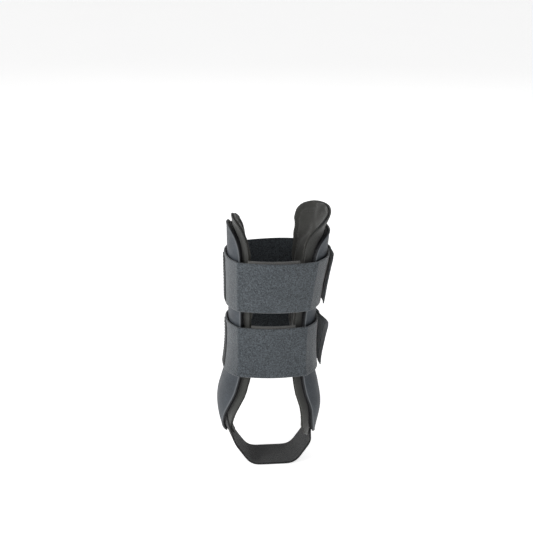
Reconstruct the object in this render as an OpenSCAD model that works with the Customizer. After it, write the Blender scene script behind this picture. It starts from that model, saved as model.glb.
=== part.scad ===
// Stirrup ankle orthosis for a left ankle: two moulded shells with foam liners, joined under the
// heel by a webbing strap and closed round the leg by two hook-and-loop straps.
// Millimetres. +X is the medial side, +Y is towards the toes, +Z is up, and z = 0 is the sole.

/* [Shells] */
// Height of the top of the lateral shell above the sole
lateral_shell_top = 237; // [230:1:240]
// Height of the top of the medial shell above the sole
medial_shell_top = 231; // [228:1:240]
// Height of the lower tips of the rigid shells above the sole
shell_foot = 30; // [28:1:34]
// Wall thickness of the moulded shells
shell_wall = 2.6; // [2:0.1:2.8]

/* [Liners] */
// Thickness of a liner at its rim
liner_rim = 5; // [4:0.5:6]
// Thickness of a liner at its middle
liner_middle = 9; // [7:0.5:10]
// How far a liner reaches past its shell round the leg, in degrees
liner_margin = 8; // [5:1:9]
// How far the lateral liner stands above its shell
lateral_liner_rise = 6; // [4:1:10]
// How far the medial liner stands above its shell, at its forward crest
medial_liner_rise = 18; // [8:1:20]

/* [Leg straps] */
// Width of the leg straps
strap_width = 48; // [40:1:50]
// Thickness of the leg straps
strap_t = 1.7; // [1.2:0.1:2]
// Height of the lower edge of the lower strap
lower_strap_z = 97; // [94:0.5:104]
// Height of the lower edge of the upper strap
upper_strap_z = 160.5; // [158:0.5:164]
// How far the free end of the upper tab stands off, at its lower and its upper corner
upper_flare = [3, 3.5]; // [2:0.5:10]
// How far the free end of the lower tab stands off, at its lower and its upper corner
lower_flare = [3.5, 10]; // [2:0.5:12]

/* [Heel strap] */
// Width of the heel strap, from back to front
heel_width = 44; // [36:1:46]
// Thickness of the heel webbing
heel_t = 1.8; // [1.4:0.1:2]
// Half the width of the flat part that rests under the heel
heel_flat = 14; // [10:1:16]

/* [Hidden] */
LATERAL = -1;
MEDIAL = 1;

// The outer face of the shells is one closed section that changes with height. Each row is
// [height, half width on the lateral side, on the medial side, depth to the back, to the front].
stations = [
    [ 20, 39.5, 38.5, 42.0, 58],
    [ 40, 48.8, 43.2, 44.0, 68],
    [ 60, 52.0, 47.0, 45.0, 72],
    [ 80, 48.5, 44.5, 43.0, 58],
    [100, 43.2, 40.2, 40.0, 43],
    [125, 40.5, 39.6, 39.5, 40],
    [150, 40.8, 41.5, 40.5, 40],
    [180, 41.0, 45.5, 43.5, 41],
    [210, 41.5, 51.5, 47.0, 43],
    [250, 42.0, 56.0, 49.0, 44],
];
squareness = 2.4; // 2 is an ellipse, more is squarer

// How far each shell reaches round the leg from its middle line, in degrees: [height, back, front].
lateral_reach = [[20, 30, 26], [80, 40, 34], [100, 43, 40], [145, 42.5, 42], [207, 46, 44], [250, 46, 44]];
medial_reach = [[20, 38, 26], [60, 44.5, 28], [80, 51.5, 34], [100, 52.5, 40], [145, 50.5, 43],
    [207, 46, 44], [250, 46, 44]];
// Heights where the rounded ends of a shell begin, and how full they are.
top_arch = [201, 3];
lateral_back_foot = [82, 1.45];
lateral_front_foot = [60, 2.2];
medial_foot = [62, 3];

// Layers, as distances outwards from the outer face of the shells.
clear = 0.3;
hook_t = 0.7;
strap_hook_t = 0.45; // hook patches outside the shells
liner_out = -5.6;
skin_t = 0.8; // fabric on both faces of a liner
glue = 0.05;
liner_crest = 13; // how far forward the medial liner's top leans, in degrees
strap_in = 0.95;
strap_out = strap_in + strap_t;
lap_in = strap_out + 0.4; // the second layer, where a strap laps over itself
tab_out = lap_in + hook_t + glue + 1.4;
heel_out = -shell_wall - clear - hook_t - 0.2; // outer face of the heel webbing inside a shell

// Angles round the leg of the strap seams, from the middle line of their side.
anchor_half = 40;
seam_gap = 1;
medial_corner_back = -52.5; // the back run turns onto the medial shell here
medial_corner_front = 50;
back_run_end = 22;
lap_start = 38;
tab_root = 6;
tab_tip = -28;
pad_from = 236;
pad_to = 297;
pad_t = 2.8;

// Heel strap profile: a flat, a bend and a slope up to the hinge line of each shell.
heel_y = 4;
heel_bend_r = 14;
heel_slope = 55;
hinge_x = 37.4;
hinge_z = 23;
heel_end_top = 64;

// ---- curves ----

function smooth(t) = let (c = min(1, max(0, t))) c * c * (3 - 2 * c);

function arch(t, fullness) = t <= 0 ? 1 : pow(max(0, 1 - pow(min(t, 1), fullness)), 1 / fullness);

// A row of a table at height z, on a smooth curve through the table's rows.
function row_at(table, z) =
    let (
        last = len(table) - 1,
        i = max([0, for (k = [0 : last - 1]) if (table[k][0] <= z) k]),
        a = table[i],
        b = table[i + 1],
        span = b[0] - a[0],
        t = (z - a[0]) / span,
        before = table[max(0, i - 1)],
        after = table[min(last, i + 2)],
        slope_a = (b - before) / (b[0] - before[0]) * span,
        slope_b = (after - a) / (after[0] - a[0]) * span
    )
    a * (2 * pow(t, 3) - 3 * pow(t, 2) + 1) + slope_a * (pow(t, 3) - 2 * pow(t, 2) + t)
    + b * (3 * pow(t, 2) - 2 * pow(t, 3)) + slope_b * (pow(t, 3) - pow(t, 2));

// A point at an angle round the leg (0 medial, 90 front, 180 lateral), d outwards from the shells.
function on_leg(z, angle, d) =
    let (
        s = row_at(stations, z),
        a = (cos(angle) > 0 ? s[2] : s[1]) + d,
        b = (sin(angle) > 0 ? s[4] : s[3]) + d,
        r = pow(pow(abs(cos(angle)) / a, squareness) + pow(abs(sin(angle)) / b, squareness), -1 / squareness)
    )
    [r * cos(angle), r * sin(angle), z];

// ---- building blocks ----

// A closed sheet between two grids of points. Rows go up, and columns go round the leg.
module sheet(outer, inner) {
    cols = len(outer[0]);
    rows = len(outer);
    n = rows * cols;
    top = rows - 1;
    end = cols - 1;
    function at(i, j) = i * cols + j;
    quads = concat(
        [for (i = [0 : top - 1], j = [0 : end - 1]) [at(i, j), at(i + 1, j), at(i + 1, j + 1), at(i, j + 1)]],
        [for (i = [0 : top - 1], j = [0 : end - 1])
            [n + at(i, j), n + at(i, j + 1), n + at(i + 1, j + 1), n + at(i + 1, j)]],
        [for (j = [0 : end - 1]) [at(0, j), at(0, j + 1), n + at(0, j + 1), n + at(0, j)]],
        [for (j = [0 : end - 1]) [at(top, j + 1), at(top, j), n + at(top, j), n + at(top, j + 1)]],
        [for (i = [0 : top - 1]) [at(i + 1, 0), at(i, 0), n + at(i, 0), n + at(i + 1, 0)]],
        [for (i = [0 : top - 1]) [at(i, end), at(i + 1, end), n + at(i + 1, end), n + at(i, end)]]
    );
    polyhedron(
        points = concat([for (r = outer) each r], [for (r = inner) each r]),
        faces = [for (q = quads) each [[q[0], q[1], q[2]], [q[0], q[2], q[3]]]]
    );
}

// Heights of n rows between two ends, closer together at the ends.
function heights(low, high, n) =
    [for (i = [0 : n - 1]) let (v = i / (n - 1))
        low + (high - low) * (0.15 * v + 0.425 * (1 - cos(180 * v)))];

// How far a shell reaches round the leg at height z, [back, front], grown by margin and rise.
function reach(side, z, margin, low, high) =
    let (
        full = row_at(side == MEDIAL ? medial_reach : lateral_reach, z),
        top = arch((z - top_arch[0]) / (high - top_arch[0]), top_arch[1]),
        back_foot = side == MEDIAL ? medial_foot : lateral_back_foot,
        front_foot = side == MEDIAL ? medial_foot : lateral_front_foot,
        back = arch((back_foot[0] - z) / (back_foot[0] - low), back_foot[1]),
        front = arch((front_foot[0] - z) / (front_foot[0] - low), front_foot[1])
    )
    [max(2, (full[1] + margin) * top * back), max(2, (full[2] + margin) * top * front)];

// The angle round the leg at u, from -1 at one edge of a piece to 1 at the other. A crest moves the
// piece forward.
function piece_angle(side, u, extent, crest) =
    let (w = side * u, angle = w * (w < 0 ? extent[0] : extent[1]) + crest)
    side == MEDIAL ? angle : 180 - angle;

// A layer that follows a shell, from low to high. d_out and d_in give its faces at u and v.
module side_layer(side, low, high, margin, d_out, d_in, rows, cols, crest = 0) {
    z = heights(low, high, rows);
    function grid(d) = [for (i = [0 : rows - 1]) let (
            extent = reach(side, z[i], margin, low, high),
            forward = crest * smooth((z[i] - high + 28) / 28)
        )
        [for (j = [0 : cols - 1]) let (u = 2 * j / (cols - 1) - 1)
            on_leg(z[i], piece_angle(side, u, extent, forward), d(u, (z[i] - low) / (high - low)))]];
    sheet(grid(d_out), grid(d_in));
}

// A band round the leg between two angles and two heights, with a face at d_out and one at d_in.
module band(from, to, low, high, d_out, d_in, step = 6, rows = 4) {
    n = max(2, ceil((to - from) / step) + 1);
    function grid(d) = [for (i = [0 : rows - 1]) [for (j = [0 : n - 1])
        let (angle = from + (to - from) * j / (n - 1), v = i / (rows - 1))
            on_leg(low + (high - low) * v, angle, d(angle, v))]];
    sheet(grid(d_out), grid(d_in));
}

// ---- shells and liners ----

module shell(side)
    color([0.33, 0.36, 0.40])
        side_layer(side, shell_foot, side == MEDIAL ? medial_shell_top : lateral_shell_top, 0,
            function (u, v) 0, function (u, v) -shell_wall, 27, 13);

liner_low = shell_foot - 4;
function liner_high(side) =
    side == MEDIAL ? medial_shell_top + medial_liner_rise : lateral_shell_top + lateral_liner_rise;

// Distance of the face that touches the leg: a liner is crowned, and thinner at its rim.
function liner_face(u, v) =
    liner_out - liner_rim - (liner_middle - liner_rim) * (1 - pow(abs(u), 3)) * (1 - pow(abs(2 * v - 1), 6));

module liner_layer(side, d_out, d_in)
    side_layer(side, liner_low, liner_high(side), liner_margin, d_out, d_in, 22, 11,
        side == MEDIAL ? liner_crest : 0);

module liner_backing(side)
    color([0.30, 0.31, 0.31])
        liner_layer(side, function (u, v) liner_out, function (u, v) liner_out - skin_t);

module liner_foam(side)
    color([0.20, 0.21, 0.21])
        liner_layer(side, function (u, v) liner_out - skin_t - glue,
            function (u, v) liner_face(u, v) + skin_t + glue);

module liner_facing(side)
    color([0.40, 0.42, 0.39])
        liner_layer(side, function (u, v) liner_face(u, v) + skin_t, function (u, v) liner_face(u, v));

// Patches of hook tape inside a shell, which hold its liner.
module liner_hooks(side)
    color([0.10, 0.10, 0.11])
        for (z = [78, 128, 188])
            patch(side, z, 30, 26, -shell_wall - clear, liner_out + clear);

// A patch of tape that follows the leg, centred on a side at height z.
module patch(side, z, width, height, d_out, d_in) {
    half = width / 2 / on_leg(z, side == MEDIAL ? 0 : 180, 0)[0] * side * 180 / PI;
    middle = side == MEDIAL ? 0 : 180;
    band(middle - half, middle + half, z - height / 2, z + height / 2,
        function (a, v) d_out, function (a, v) d_in, step = 5, rows = 4);
}

// Patches of hook tape outside a shell, under the leg straps.
module strap_hooks(side)
    color([0.10, 0.10, 0.11])
        for (z = [lower_strap_z, upper_strap_z])
            patch(side, z + strap_width / 2, 34, strap_width - 12, 0.2 + strap_hook_t, 0.2);

// ---- leg straps ----

module strap_band(from, to, z, d_out, d_in, rows = 4)
    color([0.36, 0.38, 0.39])
        band(from, to, z, z + strap_width, d_out, d_in, rows = rows);

module strap_anchor(z)
    strap_band(180 - anchor_half, 180 + anchor_half, z,
        function (a, v) strap_out, function (a, v) strap_in);

module strap_back(z)
    strap_band(180 + anchor_half + seam_gap, 360 + medial_corner_back, z,
        function (a, v) strap_out, function (a, v) strap_in);

module strap_back_end(z)
    strap_band(360 + medial_corner_back + 0.1, 360 + back_run_end, z,
        function (a, v) strap_out, function (a, v) strap_in);

module strap_front(z)
    strap_band(medial_corner_front, 180 - anchor_half - seam_gap, z,
        function (a, v) strap_out, function (a, v) strap_in);

// The front run rises from the first layer to the second before it meets the end of the back run.
function lap_rise(angle) =
    (lap_in - strap_in) * smooth((medial_corner_front - angle) / (medial_corner_front - lap_start));

module strap_front_end(z)
    strap_band(tab_root + seam_gap, medial_corner_front - 0.1, z,
        function (a, v) strap_out + lap_rise(a), function (a, v) strap_in + lap_rise(a));

// The soft inner layer across the back, between the liners.
module back_pad(z)
    color([0.42, 0.43, 0.44])
        band(pad_from, pad_to, z + 2, z + strap_width + 1.5,
            function (a, v) strap_in - clear, function (a, v) strap_in - clear - pad_t);

// The free end of a strap. It runs back over the medial side, standing further off towards its tip.
module tab_layer(z, flare, d_out, d_in) {
    rows = 9;
    cols = 7;
    function lift(t, v) = (flare[0] + (flare[1] - flare[0]) * v) * pow(max(0, t), 1.6);
    function grid(d) = [for (i = [0 : rows - 1]) let (
            v = 0.5 - cos(180 * i / (rows - 1)) / 2,
            tip = tab_tip + 9 * pow(abs(2 * v - 1), 5)
        )
        [for (j = [0 : cols - 1]) let (angle = tip + (tab_root - tip) * j / (cols - 1))
            on_leg(z + strap_width * v, angle, d + lift((tab_root - angle) / (tab_root - tab_tip), v))]];
    sheet(grid(d_out), grid(d_in));
}

module tab(z, flare)
    color([0.30, 0.32, 0.33])
        tab_layer(z, flare, tab_out, lap_in + hook_t + glue);

module tab_hook(z, flare)
    color([0.10, 0.10, 0.11])
        tab_layer(z, flare, lap_in + hook_t, lap_in);

// ---- heel strap ----

// Outer face of the right half of the strap, lifted by d along its own normal.
function heel_path(d) = concat(
    [for (a = [0 : 5 : heel_slope])
        [heel_flat + (heel_bend_r - d) * sin(a), heel_bend_r - (heel_bend_r - d) * cos(a)]],
    [[hinge_x - d * sin(heel_slope), hinge_z + d * cos(heel_slope)]]
);

module heel_strap() {
    outer = heel_path(0);
    inner = heel_path(heel_t);
    last = len(outer) - 1;
    profile = concat(
        outer,
        [for (i = [last : -1 : 0]) inner[i]],
        [for (p = inner) [-p[0], p[1]]],
        [for (i = [last : -1 : 0]) [-outer[i][0], outer[i][1]]]
    );
    color([0.16, 0.17, 0.18])
        translate([0, heel_y + heel_width / 2, 0])
            rotate([90, 0, 0])
                linear_extrude(height = heel_width)
                    polygon(profile);
}

// The strap's end, between a shell and its liner.
module heel_strap_end(side) {
    middle = side == MEDIAL ? 0 : 180;
    half = 24;
    color([0.16, 0.17, 0.18])
        band(middle - half + side * 5, middle + half + side * 5, hinge_z + 1.6, heel_end_top,
            function (a, v) heel_out, function (a, v) max(liner_out + 0.25, heel_out - heel_t), rows = 6);
}

module heel_hook(side) {
    middle = side == MEDIAL ? 0 : 180;
    color([0.10, 0.10, 0.11])
        band(middle - 16 + side * 5, middle + 16 + side * 5, shell_foot + 8, heel_end_top - 4,
            function (a, v) -shell_wall - clear, function (a, v) -shell_wall - clear - hook_t, rows = 4);
}

// ---- the assembly ----

heel_strap();
heel_strap_end(LATERAL);  // heel_strap_lateral_end
heel_strap_end(MEDIAL);  // heel_strap_medial_end
heel_hook(LATERAL);  // heel_hook_lateral
heel_hook(MEDIAL);  // heel_hook_medial
shell(LATERAL);  // lateral_shell
liner_backing(LATERAL);  // lateral_liner_backing
liner_foam(LATERAL);  // lateral_liner_foam
liner_facing(LATERAL);  // lateral_liner_facing
liner_hooks(LATERAL);  // lateral_liner_hooks
strap_hooks(LATERAL);  // lateral_strap_hooks
shell(MEDIAL);  // medial_shell
liner_backing(MEDIAL);  // medial_liner_backing
liner_foam(MEDIAL);  // medial_liner_foam
liner_facing(MEDIAL);  // medial_liner_facing
liner_hooks(MEDIAL);  // medial_liner_hooks
strap_hooks(MEDIAL);  // medial_strap_hooks
strap_anchor(upper_strap_z);  // upper_strap_anchor
strap_back(upper_strap_z);  // upper_strap_back
strap_back_end(upper_strap_z);  // upper_strap_back_end
back_pad(upper_strap_z);  // upper_back_pad
strap_front(upper_strap_z);  // upper_strap_front
strap_front_end(upper_strap_z);  // upper_strap_front_end
tab(upper_strap_z, upper_flare);  // upper_tab
tab_hook(upper_strap_z, upper_flare);  // upper_tab_hook
strap_anchor(lower_strap_z);  // lower_strap_anchor
strap_back(lower_strap_z);  // lower_strap_back
strap_back_end(lower_strap_z);  // lower_strap_back_end
back_pad(lower_strap_z);  // lower_back_pad
strap_front(lower_strap_z);  // lower_strap_front
strap_front_end(lower_strap_z);  // lower_strap_front_end
tab(lower_strap_z, lower_flare);  // lower_tab
tab_hook(lower_strap_z, lower_flare);  // lower_tab_hook
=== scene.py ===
"""Looks of a stirrup ankle orthosis: moulded side shells, padded liners, a woven heel strap and two
hook-and-loop leg straps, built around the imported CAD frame. Lengths in the profile tables and in
the helpers are millimetres; meshes are made in metres."""

import math

import bmesh
import bpy
import numpy as np
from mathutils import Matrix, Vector
from mathutils.bvhtree import BVHTree


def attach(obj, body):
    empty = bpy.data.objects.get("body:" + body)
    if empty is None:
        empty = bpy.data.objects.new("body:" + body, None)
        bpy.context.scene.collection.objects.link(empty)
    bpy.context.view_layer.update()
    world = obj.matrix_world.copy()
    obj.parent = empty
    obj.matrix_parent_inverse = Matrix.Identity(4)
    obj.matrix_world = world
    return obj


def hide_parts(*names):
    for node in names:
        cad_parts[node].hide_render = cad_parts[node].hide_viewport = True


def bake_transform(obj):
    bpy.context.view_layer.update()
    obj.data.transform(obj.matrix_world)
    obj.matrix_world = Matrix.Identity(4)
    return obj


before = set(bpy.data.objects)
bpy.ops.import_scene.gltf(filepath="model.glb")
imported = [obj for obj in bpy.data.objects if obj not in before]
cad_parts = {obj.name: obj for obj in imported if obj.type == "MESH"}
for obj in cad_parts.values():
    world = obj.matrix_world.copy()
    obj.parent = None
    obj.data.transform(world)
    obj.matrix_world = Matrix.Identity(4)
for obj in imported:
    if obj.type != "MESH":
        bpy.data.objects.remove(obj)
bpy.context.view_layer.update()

MM = 0.001
MEDIAL, LATERAL = 1, -1

# ---- the brace's section, as in the CAD: half widths lateral, medial, back and front, by height ----

STATIONS = [
    [20, 39.5, 38.5, 42.0, 58],
    [40, 48.8, 43.2, 44.0, 68],
    [60, 52.0, 47.0, 45.0, 72],
    [80, 48.5, 44.5, 43.0, 58],
    [100, 43.2, 40.2, 40.0, 43],
    [125, 40.5, 39.6, 39.5, 40],
    [150, 40.8, 41.5, 40.5, 40],
    [180, 41.0, 45.5, 43.5, 41],
    [210, 41.5, 51.5, 47.0, 43],
    [250, 42.0, 56.0, 49.0, 44],
]
SQUARENESS = 2.4

# How far each shell reaches round the leg, in degrees: height, back, front.
REACH = {
    LATERAL: [[20, 30, 26], [80, 40, 34], [100, 43, 40], [145, 42.5, 42], [207, 46, 44], [250, 46, 44]],
    MEDIAL: [[20, 38, 26], [60, 44.5, 28], [80, 51.5, 34], [100, 52.5, 40], [145, 50.5, 43], [207, 46, 44],
             [250, 46, 44]],
}
# Where a piece starts to round in and how square the rounding is: at its top, and at its foot, back
# and front.
TOP_ARCH = (201, 3)
FOOT = {LATERAL: ((82, 1.45), (60, 2.2)), MEDIAL: ((62, 3), (62, 3))}
SHELL_FOOT = 30
SHELL_TOP = {LATERAL: 237, MEDIAL: 231}
LINER_TOP = {LATERAL: 243, MEDIAL: 249}
LINER_FOOT = 26
LINER_MARGIN = 8
LINER_CREST = {LATERAL: 0, MEDIAL: 13}
SHELL_WALL = 2.6

# The liners' layers, measured outwards from the shells' outer face, and the pad's thickness.
LINER_OUT = -5.6
BACKING_IN = LINER_OUT - 1.2
FOAM_OUT, FOAM_IN = LINER_OUT - 1.1, LINER_OUT - 2.6
PAD_OUT = LINER_OUT - 2.4
LINER_RIM, LINER_MIDDLE = 5, 9
PAD_SWELL = 3.5
LINER_FLARE = {LATERAL: 2.5, MEDIAL: 4.5}

# The straps. Their middle stands off a path that follows the shells. The front half laps the back one.
STRAP_W = 48
STRAP_T = 1.7
STRAP_GAP = 0.95
STRAP_MID = STRAP_GAP + STRAP_T / 2
STRAP_EDGE = 0.8
STRAP_END_EDGE = 0.85
LAP_RISE = 2.1
STRAP_Z = {"upper": 160.5, "lower": 97.0}
HINGE_BACK, HINGE_FRONT = 220.5, 139.5
BACK_END, FRONT_END = 382, 10
LAP_FROM, LAP_TO = 50, 38
DEG_TO_MM = 0.75  # arc length of one degree round the leg

# The tabs: where they start and hinge, and per tab the free end's angle, corner radius and flare, each
# at the bottom and at the top.
TAB_FROM = 25.0
TAB_ROOT = 6.3
TAB_LENGTH = 45
TAB_T = 1.3
TAB_REST, TAB_DROP = 5.5, 1.1
TAB_HOOK_FROM, TAB_HOOK_SHORT, TAB_HOOK_IN = 4.0, 6.5, 3.0
TAB_TIP = {"upper": (-25.0, -27.0), "lower": (-13.0, -29.0)}
TAB_CORNER = {"upper": (5.0, 10.0), "lower": (2.0, 4.0)}
TAB_FLARE = {"upper": (2.4, 3.0), "lower": (3.0, 10.5)}

# The sewn tape over the lateral shell.
ANCHOR_W = 17.0
ANCHOR_IN = 2.5
ANCHOR_EDGE = 0.5

# The linings behind the straps, from one liner to the other.
LINING_FROM, LINING_SPAN = 236, 61
LINING_EDGE = 1.2
LINING_T = 2.5

# The heel strap. Its bend's centre is as far from the middle as from the floor.
HEEL_Y = 4.0
HEEL_W = 44.0
HEEL_T = 1.8
HEEL_TOP = 66.0
HEEL_IN = 4.6
HEEL_BEND = 14
HEEL_STEP = 0.5
HEEL_BLUR = 16
HEEL_OVERLAP = 4
HEEL_KNEE = (36.7, 23.4)

# The sewn channel round each liner.
CHANNEL_IN = 5.0

SIDE_NAME = {LATERAL: "lateral", MEDIAL: "medial"}


def row_at(table, z):
    """Rows of a table at heights z, on smooth curves through the table's rows."""
    t = np.asarray(table, float)
    z = np.asarray(z, float)
    last = len(t) - 1
    i = np.clip(np.searchsorted(t[:, 0], z, side="right") - 1, 0, last - 1)
    a, b = t[i], t[i + 1]
    span = (b[..., 0] - a[..., 0])[..., None]
    u = (z - a[..., 0])[..., None] / span
    before, after = t[np.maximum(0, i - 1)], t[np.minimum(last, i + 2)]
    slope_a = (b - before) / (b[..., :1] - before[..., :1]) * span
    slope_b = (after - a) / (after[..., :1] - a[..., :1]) * span
    return (
        a * (2 * u**3 - 3 * u**2 + 1)
        + slope_a * (u**3 - 2 * u**2 + u)
        + b * (3 * u**2 - 2 * u**3)
        + slope_b * (u**3 - u**2)
    )


def smooth(t):
    c = np.clip(t, 0, 1)
    return c * c * (3 - 2 * c)


def arch(t, fullness):
    return (1 - np.clip(t, 0, 1) ** fullness) ** (1 / fullness)


def radius(z, angle, d):
    """Distance from the leg's axis of the shells' outer face, d outwards, at height z and angle."""
    s = row_at(STATIONS, z)
    c, n = np.cos(np.radians(angle)), np.sin(np.radians(angle))
    a = np.where(c > 0, s[..., 2], s[..., 1]) + d
    b = np.where(n > 0, s[..., 4], s[..., 3]) + d
    return ((np.abs(c) / a) ** SQUARENESS + (np.abs(n) / b) ** SQUARENESS) ** (-1 / SQUARENESS)


def polar(r, angle, z):
    a = np.radians(angle)
    return np.stack([r * np.cos(a), r * np.sin(a), z + 0 * r], -1)


def on_leg(z, angle, d):
    return polar(radius(z, angle, d), angle, z)


# ---- the straps' path: it follows the shells, and spans the gaps between them nearly straight ----

Z_STEP, A_STEP = 3.0, 0.5
TABLE_Z = np.arange(88, 220, Z_STEP)
TABLE_A = np.arange(-60, 421, A_STEP)
BACK_SPAN_IN, FRONT_SPAN_IN = 2.5, 2.0
BACK_CORNER, FRONT_CORNER = 1.5, 0.7
CORNER_FADE, CORNER_BLUR = 6.0, 0.8


def span_radius(z, angle, from_a, to_a, depth):
    """Radius on a shallow bow from one shell's edge to the other's, depth from the leg's axis."""
    p = polar(radius(z, from_a, 0), from_a, z)[:2]
    q = polar(radius(z, to_a, 0), to_a, z)[:2]
    ray = np.stack([np.cos(np.radians(angle)), np.sin(np.radians(angle))], -1)
    chord = q - p
    cross = ray[:, 0] * chord[1] - ray[:, 1] * chord[0]
    r = (p[0] * chord[1] - p[1] * chord[0]) / cross
    hit = ray * r[:, None]
    t = 2 * ((hit - p) @ chord) / (chord @ chord) - 1
    bow = depth - abs(p[1] + q[1]) / 2
    return r + bow * (1 - t**2)


def strap_row(z):
    """The straps' path at height z, as a radius for each angle of the table."""
    section = row_at(STATIONS, z)
    lateral, medial = row_at(REACH[LATERAL], z), row_at(REACH[MEDIAL], z)
    back_from, back_to = 180 + lateral[1], 360 - medial[1]
    front_from, front_to = 180 - lateral[2], medial[2]
    angle = TABLE_A % 360
    r = radius(z, angle, 0)
    back = (angle > back_from) & (angle < back_to)
    r[back] = span_radius(z, angle[back], back_from, back_to, section[3] - BACK_SPAN_IN)
    front = (angle > front_to) & (angle < front_from)
    r[front] = span_radius(z, angle[front], front_from, front_to, section[4] - FRONT_SPAN_IN)
    corners = ((back_from, BACK_CORNER), (back_to, BACK_CORNER), (front_from, FRONT_CORNER),
               (front_to, FRONT_CORNER))
    for corner, push in corners:
        away = np.abs((angle - corner + 180) % 360 - 180)
        r = r + push * np.exp(-away / CORNER_FADE)
    return r


def strap_table():
    half = 8
    kernel = np.exp(-0.5 * (np.arange(-half, half + 1) * A_STEP / CORNER_BLUR) ** 2)
    kernel /= kernel.sum()
    rows = [np.pad(strap_row(z), half, mode="edge") for z in TABLE_Z]
    return np.array([np.convolve(row, kernel, "valid") for row in rows])


STRAP_TABLE = strap_table()


def on_strap(z, angle, d):
    """A point d outwards from the straps' path."""
    z, angle, d = np.broadcast_arrays(np.asarray(z, float), angle, d)
    i = np.clip((z - TABLE_Z[0]) / Z_STEP, 0, len(TABLE_Z) - 1.001)
    j = np.clip((angle - TABLE_A[0]) / A_STEP, 0, len(TABLE_A) - 1.001)
    i0, j0 = i.astype(int), j.astype(int)
    fi, fj = i - i0, j - j0
    t = STRAP_TABLE
    r = (t[i0, j0] * (1 - fi) * (1 - fj) + t[i0 + 1, j0] * fi * (1 - fj)
         + t[i0, j0 + 1] * (1 - fi) * fj + t[i0 + 1, j0 + 1] * fi * fj)
    return polar(r + d, angle, z)


# ---- mesh helpers ----


def value_noise(p, cell, seed):
    """Smooth noise from 0 to 1 at points p, with features of about one cell."""
    q = p / cell
    base = np.floor(q)
    f = q - base
    f = f * f * (3 - 2 * f)
    total = np.zeros(p.shape[:-1])
    for corner in range(8):
        o = np.array([corner & 1, corner >> 1 & 1, corner >> 2 & 1])
        c = base + o
        h = np.sin(c[..., 0] * 127.1 + c[..., 1] * 311.7 + c[..., 2] * 74.7 + seed * 19.19) * 43758.5453
        w = np.prod(np.where(o == 1, f, 1 - f), -1)
        total += (h - np.floor(h)) * w
    return total


def spaced(length, step, edge):
    """Places from 0 to 1 along a length, crowded within the rounded edge at both ends."""
    near = edge * (1 - np.cos(np.radians(np.linspace(0, 90, 6))))
    n = max(2, int((length - 2 * edge) / step))
    middle = np.linspace(edge, length - edge, n + 1)[1:-1]
    return np.concatenate([near, middle, length - near[::-1]]) / length


def half_round(distance, edge):
    """1 away from an edge, falling to 0 on a quarter circle within it."""
    t = np.clip(1 - distance / edge, 0, 1)
    return np.sqrt(np.maximum(0, 1 - t**2))


def mesh_piece(name, verts, faces, material, uv=None):
    mesh = bpy.data.meshes.new(name)
    mesh.from_pydata(verts.tolist(), [], faces)
    mesh.materials.append(material)
    if uv is not None:
        flat = mesh.uv_layers.new(name="flat")
        loop_vert = np.zeros(len(mesh.loops), int)
        mesh.loops.foreach_get("vertex_index", loop_vert)
        flat.data.foreach_set("uv", uv[loop_vert].astype(np.float32).ravel())
    mesh.polygons.foreach_set("use_smooth", [True] * len(mesh.polygons))
    obj = bpy.data.objects.new(name, mesh)
    bpy.context.scene.collection.objects.link(obj)
    return obj


def closed_sheet(name, outer, inner, material, flat=None):
    """A closed mesh from two grids of points in millimetres that share their rim."""
    rows, cols = outer.shape[:2]
    index = np.arange(rows * cols).reshape(rows, cols)
    other = index + rows * cols
    rim = np.zeros((rows, cols), bool)
    rim[0], rim[-1], rim[:, 0], rim[:, -1] = True, True, True, True
    verts = np.concatenate([outer.reshape(-1, 3), inner.reshape(-1, 3)])
    mid = (outer + inner) / 2
    verts[index[rim]] = mid[rim]
    other = np.where(rim, index, other)
    keep = np.zeros(len(verts), bool)
    keep[index.ravel()] = True
    keep[other.ravel()] = True
    new = np.cumsum(keep) - 1
    a = index
    quads = np.stack([a[:-1, :-1], a[:-1, 1:], a[1:, 1:], a[1:, :-1]], -1).reshape(-1, 4)
    b = other
    back = np.stack([b[:-1, :-1], b[1:, :-1], b[1:, 1:], b[:-1, 1:]], -1).reshape(-1, 4)
    faces = new[np.concatenate([quads, back])].tolist()
    uv = None
    if flat is not None:
        uv = np.concatenate([flat.reshape(-1, 2), flat.reshape(-1, 2)])[keep] * MM
    obj = mesh_piece(name, verts[keep] * MM, faces, material, uv)
    outward(obj)
    return obj


def outward(obj):
    """Turns a closed mesh's faces to look out."""
    bm = bmesh.new()
    bm.from_mesh(obj.data)
    bmesh.ops.recalc_face_normals(bm, faces=bm.faces)
    if bm.calc_volume(signed=True) < 0:
        bmesh.ops.reverse_faces(bm, faces=bm.faces)
    bm.to_mesh(obj.data)
    bm.free()


def capsule_row(name, places, along, out, length, width, material):
    """One mesh of thread stitches at places, each laid along its own direction."""
    verts, faces = [], []
    rings = [(-0.5, 0.25), (-0.38, 0.8), (-0.15, 1.0), (0.15, 1.0), (0.38, 0.8), (0.5, 0.25)]
    for p, t, n in zip(places, along, out):
        t = t / np.linalg.norm(t)
        n = n - t * (n @ t)
        n = n / np.linalg.norm(n)
        s = np.cross(t, n)
        base = len(verts)
        for at, size in rings:
            sink = 0.35 * width * (2 * abs(at)) ** 3
            for k in range(6):
                a = math.radians(60 * k)
                verts.append(p + t * at * length + (s * math.cos(a) + n * math.sin(a)) * width / 2 * size
                             - n * sink)
        for i in range(len(rings) - 1):
            for k in range(6):
                m = (k + 1) % 6
                ring = base + i * 6
                faces.append([ring + k, ring + m, ring + 6 + m, ring + 6 + k])
        faces.append([base + k for k in range(5, -1, -1)])
        faces.append([base + 6 * (len(rings) - 1) + k for k in range(6)])
    return mesh_piece(name, np.array(verts) * MM, faces, material)


# ---- materials ----


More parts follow.
